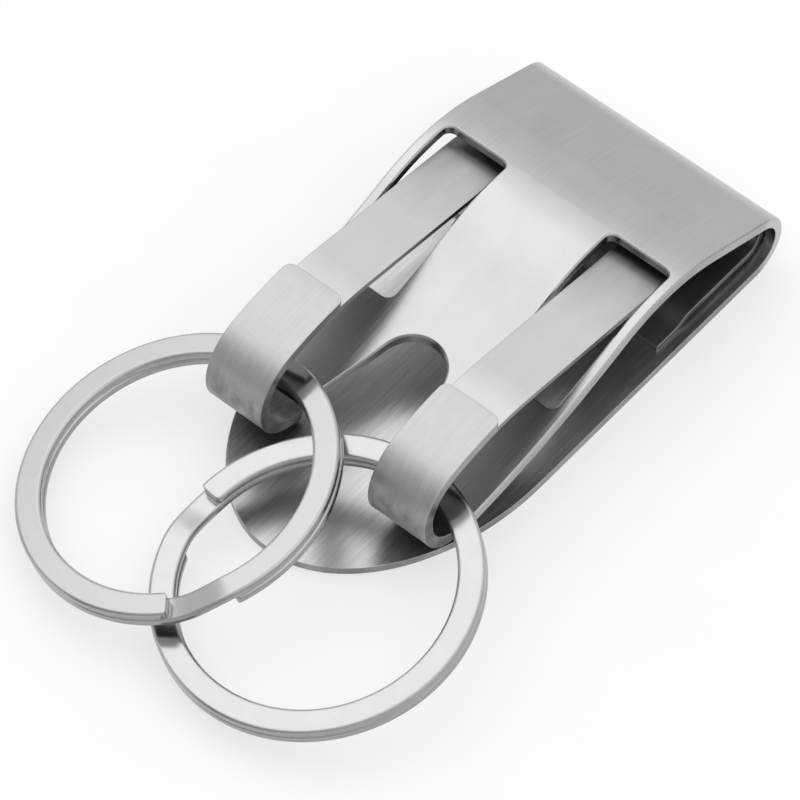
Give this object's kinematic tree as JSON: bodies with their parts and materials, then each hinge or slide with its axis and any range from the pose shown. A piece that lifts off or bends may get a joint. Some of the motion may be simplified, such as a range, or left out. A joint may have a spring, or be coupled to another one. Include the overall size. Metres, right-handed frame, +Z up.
{
  "type": "belt key clip",
  "caption": "Bent sheet-steel belt clip with a sprung leaf whose lapped hook arms pass through windows in the front plate, each hook holding a flat split key ring.",
  "frame": {"origin": "centre of the back plate's flat outer face, midway along and across the clip body", "axes": "+Z up out of the back plate through the front plate, +Y along the clip towards the fold, +X across the clip"},
  "size_m": [0.0541, 0.085, 0.016],
  "materials": {
    "body_sheet": "satin brushed stainless steel",
    "spring_sheet": "satin brushed spring steel",
    "hook_strip": "satin stainless steel with lines along the strip",
    "ring_wire": "polished nickel plate"
  },
  "bodies": {
    "clip": {"clip_body": "body_sheet", "spring_leaf": "spring_sheet"},
    "left_hook_arm": {"left_arm": "spring_sheet", "left_hook": "hook_strip"},
    "right_hook_arm": {"right_arm": "spring_sheet", "right_hook": "hook_strip"},
    "left_key_ring": {"left_ring": "ring_wire"},
    "right_key_ring": {"right_ring": "ring_wire"}
  },
  "joints": [
    {"name": "left_arm_lift", "type": "hinge", "parent": "clip", "child": "left_hook_arm", "pos_m": [-0.0111, 0.0285, 0.0044], "axis": [-1, 0, 0], "range_deg": [0, 2.1], "stiffness_Nm_per_rad": 3.5},
    {"name": "right_arm_lift", "type": "hinge", "parent": "clip", "child": "right_hook_arm", "pos_m": [0.0111, 0.0285, 0.0044], "axis": [-1, 0, 0], "range_deg": [0, 2.1], "stiffness_Nm_per_rad": 3.5},
    {"name": "right_ring_swing", "type": "hinge", "parent": "clip", "child": "right_key_ring", "pos_m": [0.0111, -0.0189, 0.0096], "axis": [-1, 0, 0], "range_deg": [-2.4, 140]},
    {"name": "left_ring_swing", "type": "hinge", "parent": "clip", "child": "left_key_ring", "pos_m": [-0.0111, -0.0189, 0.0096], "axis": [-1, 0, 0], "range_deg": [-2.4, 140]}
  ],
  "couplings": [
    {"joint": "left_ring_swing", "follows": "right_ring_swing", "ratio": 1}
  ]
}
